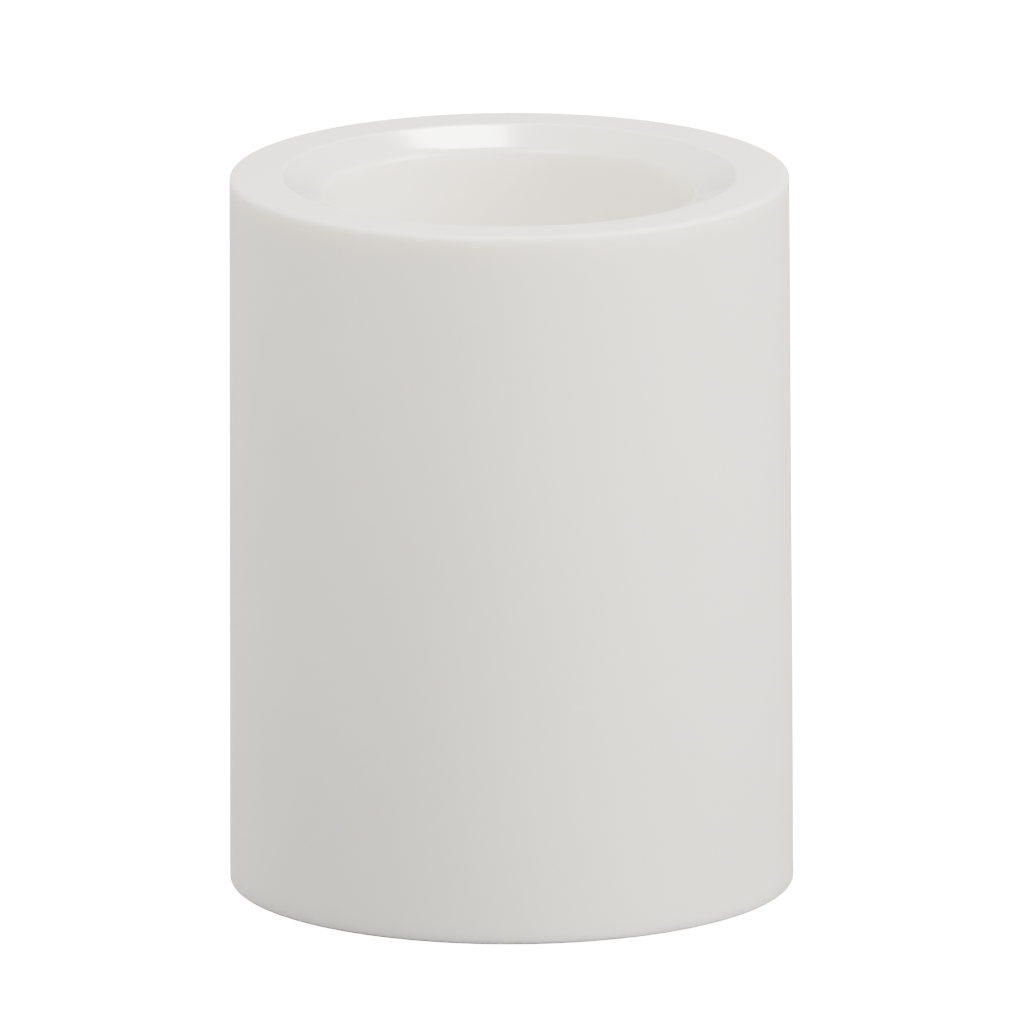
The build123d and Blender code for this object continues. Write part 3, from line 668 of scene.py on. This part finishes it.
class Surface(Enum):
    """Every finish on the candle, named for its material and how its surface was made."""

    WAX = CastParaffin("cast_paraffin")
    # run out of a hot nozzle and chilled: cloudy, with a smooth wet skin
    HOT_MELT = Plastic("hot_melt_adhesive", "#E7E2D2", "#DCD6C2", 0.34, 2.0, 0.03, 1.48, 6.0, 2.0)
    # moulded in a spark-eroded tool: an even matt grain with no sharp highlight
    ABS = Plastic("spark_textured_abs", "#E9E8E4", "#E3E1DB", 0.52, 0.5, 0.03, 1.53, 18.0, 0.6)
    # moulded, then tumbled to a frost: milky, with light coming through
    LENS = Plastic("frosted_polycarbonate", "#F6F3EA", "#EFEBDF", 0.42, 0.35, 0.015, 1.585, 5.0, 2.5, 0.25)
    # cast in a polished cup: clear amber with a hard gloss
    LED = Plastic("cast_led_epoxy", "#F4DDA0", "#EFD390", 0.12, 1.5, 0.004, 1.55, 3.0, 0.8, 0.5)
    NYLON = Plastic("moulded_black_nylon", "#1C1C1E", "#232326", 0.42, 0.4, 0.02, 1.53, 4.0)
    # ground after moulding: dull black with a chalky bloom
    CHIP = Plastic("ground_moulding_epoxy", "#19191B", "#222224", 0.66, 0.25, 0.02, 1.55, 2.0)
    RESISTOR = Plastic("glazed_resistor", "#141517", "#1D1E21", 0.22, 0.6, 0.006, 1.52, 1.0)
    CAPACITOR = Plastic("moulded_tantalum_resin", "#C08A28", "#B27D1F", 0.46, 0.3, 0.02, 1.55, 2.0)
    # sheared from pressed sheet: brown, with a faint paper fibre
    PHENOLIC = Plastic("pressed_paper_phenolic", "#5C3A22", "#6B4529", 0.4, 0.3, 0.02, 1.6, 1.2)
    # drawn over wire: slick and a little waxy
    RED_WIRE = Plastic("extruded_red_pvc", "#B5201B", "#A81C18", 0.34, 0.8, 0.01, 1.53, 6.0, 0.3)
    YELLOW_WIRE = Plastic("extruded_yellow_pvc", "#D9AF1F", "#CFA51A", 0.34, 0.8, 0.01, 1.53, 6.0, 0.3)
    BLUE_WIRE = Plastic("extruded_blue_pvc", "#1F3F9C", "#1B388D", 0.34, 0.8, 0.01, 1.53, 6.0, 0.3)
    BLACK_WIRE = Plastic("extruded_black_pvc", "#161617", "#1E1E20", 0.36, 0.8, 0.01, 1.53, 6.0)
    # hot-dipped strip: bright grey with lines along the rolling direction
    TIN = Metal("hot_dipped_tin_plate", "#C9C8C3", "#B3B1AB", 0.32, 0.12, (0.08, 1.0, 1.0))
    # drawn and nickel plated: a hard, narrow highlight along the coil
    SPRING = Metal("nickel_plated_spring_wire", "#CFCBC2", "#BAB5AA", 0.2, 0.1)
    CRYSTAL = Metal("drawn_crystal_can", "#C6C6C4", "#B4B4B1", 0.26, 0.1, (0.1, 1.0, 1.0), 3.0)
    # frozen from a melt: a smooth, slightly crystalline shine
    SOLDER = Metal("frozen_solder", "#C3C5C8", "#A9ABAE", 0.24, 0.3, patch_mm=0.8)
    BRASS = Metal("stamped_brass", "#D2AE62", "#BD9850", 0.3, 0.1, (0.1, 1.0, 1.0), 2.0)
    # barrel plated: blue-white with a dull bloom in the corners
    ZINC = Metal("barrel_plated_zinc", "#BFC3C8", "#A5A9AF", 0.36, 0.2, patch_mm=1.5)
    BOARD = SolderMaskLaminate("solder_masked_laminate")
    CELL = SleevedCell("sleeved_steel_cell")
    CELL_TURNED = SleevedCell("sleeved_steel_cell_turned", band_from_mm=9.4, band_to_mm=19.4)
    PAPER = LitPaper("lit_backdrop_paper")
    CARD = LitPaper("grey_card_stock", "#8E8E8E", "#8A8A8A", glow=0.0)
    TABLE = LitPaper("table_top_laminate", "#CFCFCF", "#CACACA", glow=0.0)


# ---- sub-assemblies
@dataclass
class WaxShell:
    """The cast pillar, with its sloped shoulder, its round recess and the cavity for the case."""

    bore: float = 33.4
    rim_radius: float = 39.3
    shoulder_radius: float = 32.2
    shoulder_drop: float = 2.4
    shoulder_break_round: float = 1.5
    recess_radius: float = 26.0
    recess_draft: float = 0.5
    recess_floor: float = 73.0
    lens_hole: float = 5.4
    cavity_top: float = 68.0
    cavity_radius: float = 29.3
    cavity_draft: float = 0.2
    glue_top: float = 3.4
    edge_round: float = 0.6
    melt_edge: float = 0.6  # the melted gloss starts this far inside the flat rim
    lip_round: float = 1.0
    floor_round: float = 4.0
    fade: float = 3.0  # the skin's unevenness dies out this far from each edge
    skin_depth: float = 0.16
    skin_size: float = 30.0
    segments: int = 256

    def corners(self) -> list[Corner]:
        """Gives the outline, from the foot's bore round the outside, the recess and the cavity."""
        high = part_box("wax_shell")[1] / MM
        foot, top = high.x, high.z
        lean = (foot - self.rim_radius) / top
        slope = self.shoulder_drop / (self.shoulder_radius - self.recess_radius)
        hidden = 12.0  # the longest edge where nothing is seen
        return [
            Corner(self.bore, 0),
            Corner(foot, 0, self.edge_round),
            Corner(foot - lean * self.fade, self.fade, ripple=1.0),
            Corner(foot - lean * (top - self.fade), top - self.fade, ripple=1.0),
            Corner(self.rim_radius, top, self.edge_round),
            Corner(self.shoulder_radius, top, self.shoulder_break_round),
            Corner(self.shoulder_radius - self.melt_edge, top - self.melt_edge * slope, 0.0, 0.2, 1.0),
            Corner(self.recess_radius, top - self.shoulder_drop, self.lip_round, 0.3, 1.0),
            Corner(self.recess_radius - self.recess_draft, self.recess_floor, self.floor_round, 0.4, 0.7),
            Corner(self.lens_hole, self.recess_floor, finish=0.7),
            Corner(self.lens_hole, self.cavity_top, step=hidden),
            Corner(self.cavity_radius, self.cavity_top, step=hidden),
            Corner(self.cavity_radius + self.cavity_draft, self.glue_top, step=hidden),
            Corner(self.bore, self.glue_top, step=hidden),
            Corner(self.bore, 0),
        ]

    def build(self, shop: Workshop) -> None:
        """Turns the wax and puts it in the CAD node's place."""
        wax = shop.turn("wax_pillar", self.corners(), Surface.WAX.value, self.segments,
                        Skin_Depth=self.skin_depth * MM, Skin_Scale=1 / (self.skin_size * MM), Seed=3.0)
        stand_for(wax, "wax_shell", "root")


@dataclass
class FlameLight:
    """The frosted lens that stands in the recess, with the LED, its legs and its spacer under it."""

    bore: float = 3.6
    radius: float = 5.0
    flange_radius: float = 7.0
    foot_radius: float = 4.8
    flange_bottom: float = 64.6
    flange_top: float = 66.0
    shoulder: float = 75.0
    crown: float = 4.4  # the wall's thickness at the tip
    belly: float = 2.2  # the two powers that shape the flame's outside
    taper: float = 0.75
    flange_round: float = 0.2
    steps: int = 16
    segments: int = 72

    def corners(self) -> list[Corner]:
        """Gives the lens's outline, from its foot up the outside and down the bore."""
        low, high = (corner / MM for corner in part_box("flame_lens"))
        rise = high.z - self.shoulder
        flame = []
        for step in range(1, self.steps + 1):
            share = step / self.steps
            out = self.radius * (1 - share**self.belly) ** self.taper
            flame.append(Corner(out, self.shoulder + rise * share))
        hollow_rise = rise - self.crown
        hollow = []
        for step in range(self.steps, -1, -1):
            share = step / self.steps
            hollow.append(Corner(self.bore * math.sqrt(1 - share**2), self.shoulder + hollow_rise * share))
        return [
            Corner(self.bore, low.z), Corner(self.foot_radius, low.z, 0.3),
            Corner(self.foot_radius, self.flange_bottom),
            Corner(self.flange_radius, self.flange_bottom, self.flange_round),
            Corner(self.flange_radius, self.flange_top, self.flange_round),
            Corner(self.radius, self.flange_top), Corner(self.radius, self.shoulder),
            *flame, *hollow, Corner(self.bore, low.z),
        ]

    def build(self, shop: Workshop) -> None:
        """Turns the lens and dresses the LED."""
        lens = shop.turn("flame_lens_frosted", self.corners(), Surface.LENS.value, self.segments)
        stand_for(lens, "flame_lens", "root")
        dress({"led_bulb": Surface.LED, "led_leads": Surface.TIN,
               "led_spacer": Surface.NYLON})


@dataclass
class PowerPack:
    """The battery case with its cap, cells, contacts and the spring under its deck."""

    nub_radius: float = 3.4
    nub_height: float = 1.5
    film_lap: float = 2.2  # the film turns in over each end by this much
    film_thickness: float = 0.1
    dish_radius: float = 4.4  # the flat end's sunk middle
    dish_depth: float = 0.4
    crimp_radius: float = 6.4  # the seal's groove round the nub
    crimp: float = 0.5
    bevel: float = 0.2
    wire_radius: float = 0.4
    seat_radius: float = 4.6
    tip_radius: float = 2.4
    turns: float = 3.0
    segments: int = 96

    def cell_corners(self, low: Vector, high: Vector, way: int) -> list[Corner]:
        """Gives a cell's outline.

        Args:
            low: The cell's lowest corner, in millimetres.
            high: Its highest corner, in millimetres.
            way: 1 if its nub is up and -1 if it is down.

        Returns:
            The outline, from the middle of the flat end to the middle of the nub.
        """
        radius = (high.x - low.x) / 2
        length = high.z - low.z
        start = low.z if way == 1 else high.z
        can = length - self.nub_height
        lap = radius - self.film_lap
        drawn = [
            Corner(0, self.dish_depth), Corner(self.dish_radius, self.dish_depth, self.bevel),
            Corner(self.dish_radius + 0.4, self.film_thickness, self.bevel), Corner(lap, self.film_thickness),
            Corner(lap, 0.0, finish=1.0), Corner(radius, 0.0, 1.0, finish=1.0, step=6.0),
            Corner(radius, can, 1.2, finish=1.0), Corner(lap, can, finish=1.0),
            Corner(lap, can - self.film_thickness),
            Corner(self.crimp_radius, can - self.film_thickness, self.bevel),
            Corner(self.crimp_radius - 0.5, can - self.crimp, self.bevel),
            Corner(self.nub_radius + 0.5, can - self.crimp, 0.3), Corner(self.nub_radius, can, self.bevel),
            Corner(self.nub_radius, length, 0.5), Corner(0, length),
        ]
        return [Corner(c.out, start + way * c.up, c.round, c.ripple, c.finish, c.step) for c in drawn]

    def build(self, shop: Workshop) -> None:
        """Turns the cells, winds the spring and dresses the case."""
        for node, way, finish in (("battery_a", 1, Surface.CELL), ("battery_b", -1, Surface.CELL_TURNED)):
            low, high = (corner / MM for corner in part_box(node))
            centre = ((low.x + high.x) / 2, 0.0)
            cell = shop.turn(f"{node}_sleeved", self.cell_corners(low, high, way), finish.value,
                             self.segments, centre)
            stand_for(cell, node, "root")
        wind_spring(shop, self, "case_spring", "battery_b", "root", -1)
        dress({"battery_case": Surface.ABS, "top_cap": Surface.ABS,
               "positive_contact": Surface.TIN, "negative_contact": Surface.TIN})


def wind_spring(shop: Workshop, sizes: PowerPack, node: str, cell: str, body: str, way: int) -> None:
    """Winds a conical spring between a contact and a cell.

    Args:
        shop: The trees.
        sizes: The spring's radii and turns.
        node: The CAD spring, which gives the height.
        cell: The cell on the spring's axis.
        body: The body that it rides on.
        way: 1 if the spring's tip is up and -1 if it is down.
    """
    low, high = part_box(node)
    across = sum(corner.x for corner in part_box(cell)) / 2
    seat = low.z if way == 1 else high.z
    wire = sizes.wire_radius * MM
    rise = high.z - low.z - 2 * wire
    taper = math.atan((sizes.seat_radius - sizes.tip_radius) * MM / rise)
    nothing = bpy.data.meshes.new(node)
    spring = grow(f"{node}_coil", nothing, shop.spring, {
        "Turns": sizes.turns / math.cos(taper),  # the pitch is held along the cone's slope
        "Seat Radius": sizes.seat_radius * MM, "Tip Radius": sizes.tip_radius * MM, "Rise": rise,
        "Wire Radius": wire, "Turned Over": (0.0, 0.0 if way == 1 else math.pi, 0.0),
        "Seat": (across, 0.0, seat + way * wire), "Material": Surface.SPRING.value.material(),
    })
    stand_for(spring, node, body)


@dataclass
class TimerBoard:
    """The flicker and timer board with what is soldered to it, and its screws."""

    screw_ring: float = 19.0
    head_radius: float = 1.7
    head_height: float = 1.0
    shank_radius: float = 0.8
    shank_length: float = 4.4

    def build(self, shop: Workshop) -> None:
        """Sets the board's screws and dresses the board."""
        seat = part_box("circuit_board")[1].z / MM
        places = []
        for turn in (60, 180, 300):
            angle = math.radians(turn)
            places.append((self.screw_ring * math.cos(angle), self.screw_ring * math.sin(angle), seat))
        set_screws(shop, self, "board_screws", places, 1)
        dress({
            "circuit_board": Surface.BOARD, "timer_chip": Surface.CHIP,
            "chip_legs": Surface.TIN, "resistors": Surface.RESISTOR,
            "capacitor": Surface.CAPACITOR, "timer_crystal": Surface.CRYSTAL,
            "solder_joints": Surface.SOLDER,
        })


@dataclass
class Base:
    """The moulded plate under the wax, the glue round it and the screws that hold it."""

    screw_x: float = 12.5
    screw_y: float = 21.7
    head_radius: float = 2.0
    head_height: float = 0.9
    shank_radius: float = 1.0
    shank_length: float = 9.0

    def build(self, shop: Workshop) -> None:
        """Sets the plate's screws and dresses the plate and the glue."""
        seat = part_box("base_screws")[0].z / MM + self.head_height
        places = [(x, y, seat) for x in (-self.screw_x, self.screw_x) for y in (-self.screw_y, self.screw_y)]
        set_screws(shop, self, "base_screws", places, -1)
        dress({"base_plate": Surface.ABS, "glue_bead": Surface.HOT_MELT})


# a screw's proportions
THREAD_DEPTH, THREAD_PITCH = 0.2, 0.8  # times the shank's radius
DRIVE_LENGTH, DRIVE_WIDTH = 1.2, 0.27  # times the head's radius
DRIVE_DEPTH = 1.1  # millimetres
SCREW_SEGMENTS = 28


def set_screws(shop: Workshop, sizes: "Base | TimerBoard", node: str,
               places: list[tuple[float, float, float]], way: int) -> None:
    """Turns one threaded pan-head screw and sets a copy at each place.

    Args:
        shop: The trees.
        sizes: The head's and the shank's radius and length.
        node: The CAD screws that these stand for.
        places: The middle of each head's seat, in millimetres.
        way: 1 if the heads are up and -1 if they are down.
    """
    depth = THREAD_DEPTH * sizes.shank_radius
    core = sizes.shank_radius - depth / 2
    corners = [
        Corner(0, sizes.head_height, step=0.5), Corner(0.5 * sizes.head_radius, sizes.head_height, 0.4),
        Corner(sizes.head_radius, 0.55 * sizes.head_height, 0.3), Corner(sizes.head_radius, 0, 0.1),
        Corner(core, 0), Corner(core, -0.4, step=0.12), Corner(core, -0.8, ripple=1.0, step=0.12),
        Corner(core, -sizes.shank_length + 1.2, ripple=1.0, step=0.12),
        Corner(0.25 * core, -sizes.shank_length + 0.1, 0.1), Corner(0, -sizes.shank_length),
    ]
    blank = shop.turn(f"{node}_blank", corners, Surface.ZINC.value, SCREW_SEGMENTS,
                      Thread_Depth=depth * MM, Thread_Pitch=THREAD_PITCH * sizes.shank_radius * MM)
    spots = bpy.data.meshes.new(f"{node}_places")
    spots.from_pydata([tuple(value * MM for value in place) for place in places], [], [])
    screws = grow(f"{node}_cross_head", spots, shop.fasteners, {
        "Screw": blank, "Drive Length": DRIVE_LENGTH * sizes.head_radius * MM,
        "Drive Width": DRIVE_WIDTH * sizes.head_radius * MM, "Drive Depth": DRIVE_DEPTH * MM,
        "Drive Height": sizes.head_height * MM, "Turn": (0.0 if way == 1 else math.pi, 0.0, 0.0),
        "Material": Surface.ZINC.value.material(),
    })
    bpy.data.objects.remove(blank)
    stand_for(screws, node, "root")


@dataclass
class BatteryDoor:
    """The hinged door with the bridge contact and the spring that it carries."""

    def build(self, shop: Workshop, springs: PowerPack) -> None:
        """Winds the door's spring and dresses the door."""
        wind_spring(shop, springs, "door_spring", "battery_a", "door", 1)
        dress({"battery_door": Surface.ABS, "bridge_contact": Surface.TIN})


@dataclass
class ModeSwitch:
    """The three-position slide switch."""

    def build(self) -> None:
        """Dresses the switch."""
        dress({
            "switch_can": Surface.TIN, "switch_board": Surface.PHENOLIC,
            "switch_terminals": Surface.TIN, "switch_knob": Surface.NYLON,
            "switch_wiper": Surface.BRASS,
        })


@dataclass
class Wiring:
    """The four leads inside the case."""

    def build(self) -> None:
        """Dresses the leads."""
        dress({"red_wire": Surface.RED_WIRE, "yellow_wire": Surface.YELLOW_WIRE,
               "blue_wire": Surface.BLUE_WIRE, "black_wire": Surface.BLACK_WIRE})


# ---- studio
@dataclass(frozen=True)
class Softbox:
    """A rectangular soft light that faces the candle, and whose reflection can be turned off."""

    name: str
    place: tuple[float, float, float]  # in metres from the middle of the candle
    width: float
    height: float
    watts: float
    reflected: bool = True

    def build(self, target: Vector) -> None:
        """Adds the light, aimed at a point, and hides it from the camera."""
        data = bpy.data.lights.new(self.name, "AREA")
        data.shape = "RECTANGLE"
        data.size = self.width
        data.size_y = self.height
        data.energy = self.watts
        light = bpy.data.objects.new(self.name, data)
        light.location = target + Vector(self.place)
        light.rotation_euler = (-Vector(self.place)).to_track_quat("-Z", "Y").to_euler()
        light.visible_camera = False
        light.visible_glossy = self.reflected
        bpy.context.scene.collection.objects.link(light)


@dataclass
class Studio:
    """The glowing floor, the unseen sheets under it, the softboxes, the sky and the camera."""

    floor_size: float = 30.0
    card_size: float = 0.24
    sky_strength: float = 0.5
    paper_strength: float = 20.0  # past the floor the backdrop is as bright as the floor
    camera_distance: float = 6.0
    camera_elevation: float = 13.45
    camera_roll: float = -0.2
    lens_mm: float = 1501.0
    aim: tuple[float, float, float] = (0.0002, 0.0, 0.0529)
    lights: tuple[Softbox, ...] = (
        Softbox("right_softbox", (0.75, -0.25, 0.44), 0.5, 0.6, 24.0),
        Softbox("left_softbox", (-0.77, 0.92, 0.2), 0.6, 0.3, 26.0, False),
        Softbox("front_softbox", (-0.2, -0.42, 0.44), 0.35, 0.35, 7.0),
        Softbox("back_softbox", (0.111, 0.842, 1.15), 0.2, 0.42, 20.0),
    )

    def lay(self, name: str, size: float, height: float, finish: Finish) -> Object:
        """Lays one level sheet under the candle.

        Args:
            name: The sheet's name.
            size: The length of its sides in metres.
            height: Its height in metres.
            finish: Its finish.

        Returns:
            The sheet's object.
        """
        half = size / 2
        mesh = bpy.data.meshes.new(name)
        mesh.from_pydata([(-half, -half, height), (half, -half, height), (half, half, height),
                          (-half, half, height)], [], [(0, 1, 2, 3)])
        mesh.materials.append(finish.material())
        sheet = bpy.data.objects.new(name, mesh)
        bpy.context.scene.collection.objects.link(sheet)
        return sheet

    def build(self) -> None:
        """Lays the floor, hangs the lights and places the camera."""
        paper = self.lay("floor", self.floor_size, 0.0, Surface.PAPER.value)
        paper.visible_diffuse = False  # the paper's glow doesn't flatten the wax
        paper.visible_glossy = False
        table = self.lay("table_top", self.floor_size, -0.2 * MM, Surface.TABLE.value)
        card = self.lay("grey_card", self.card_size, -0.1 * MM, Surface.CARD.value)
        for sheet in (table, card):
            sheet.visible_camera = False  # they only send light back up, less of it near the foot

        world = bpy.data.worlds.new("studio")
        world.use_nodes = True
        world.node_tree.nodes.clear()
        fill, paper = (
            add_node(world.node_tree, "ShaderNodeBackground", None,
                     {"Color": (1.0, 1.0, 1.0, 1.0), "Strength": strength})
            for strength in (self.sky_strength, self.paper_strength)
        )
        seen = add_node(world.node_tree, "ShaderNodeLightPath").outputs["Is Camera Ray"]
        sky = add_node(world.node_tree, "ShaderNodeMixShader", None,
                       {0: seen, 1: fill.outputs[0], 2: paper.outputs[0]})
        add_node(world.node_tree, "ShaderNodeOutputWorld", None, {"Surface": sky.outputs[0]})
        bpy.context.scene.world = world

        target = Vector(self.aim)
        for light in self.lights:
            light.build(target)
        elevation = math.radians(self.camera_elevation)
        back = Vector((0.0, -math.cos(elevation), math.sin(elevation)))
        data = bpy.data.cameras.new("camera")
        data.lens = self.lens_mm
        camera = bpy.data.objects.new("camera", data)
        camera.location = target + back * self.camera_distance
        camera.rotation_mode = "QUATERNION"
        roll = Quaternion(back, math.radians(self.camera_roll))
        camera.rotation_quaternion = roll @ (-back).to_track_quat("-Z", "Y")
        bpy.context.scene.collection.objects.link(camera)
        bpy.context.scene.camera = camera
        log.info("studio: %d lights, camera %.1f m away", len(self.lights), self.camera_distance)


def main() -> None:
    """Builds the candle's looks and the studio, one sub-assembly after another."""
    logging.basicConfig(level=logging.INFO, format="%(name)s %(message)s")
    shop = Workshop(build_lathe_tree(), build_spring_tree(), build_fastener_tree())
    power = PowerPack()
    WaxShell().build(shop)
    FlameLight().build(shop)
    power.build(shop)
    TimerBoard().build(shop)
    Base().build(shop)
    BatteryDoor().build(shop, power)
    ModeSwitch().build()
    Wiring().build()
    Studio().build()


if __name__ == "__main__":
    main()
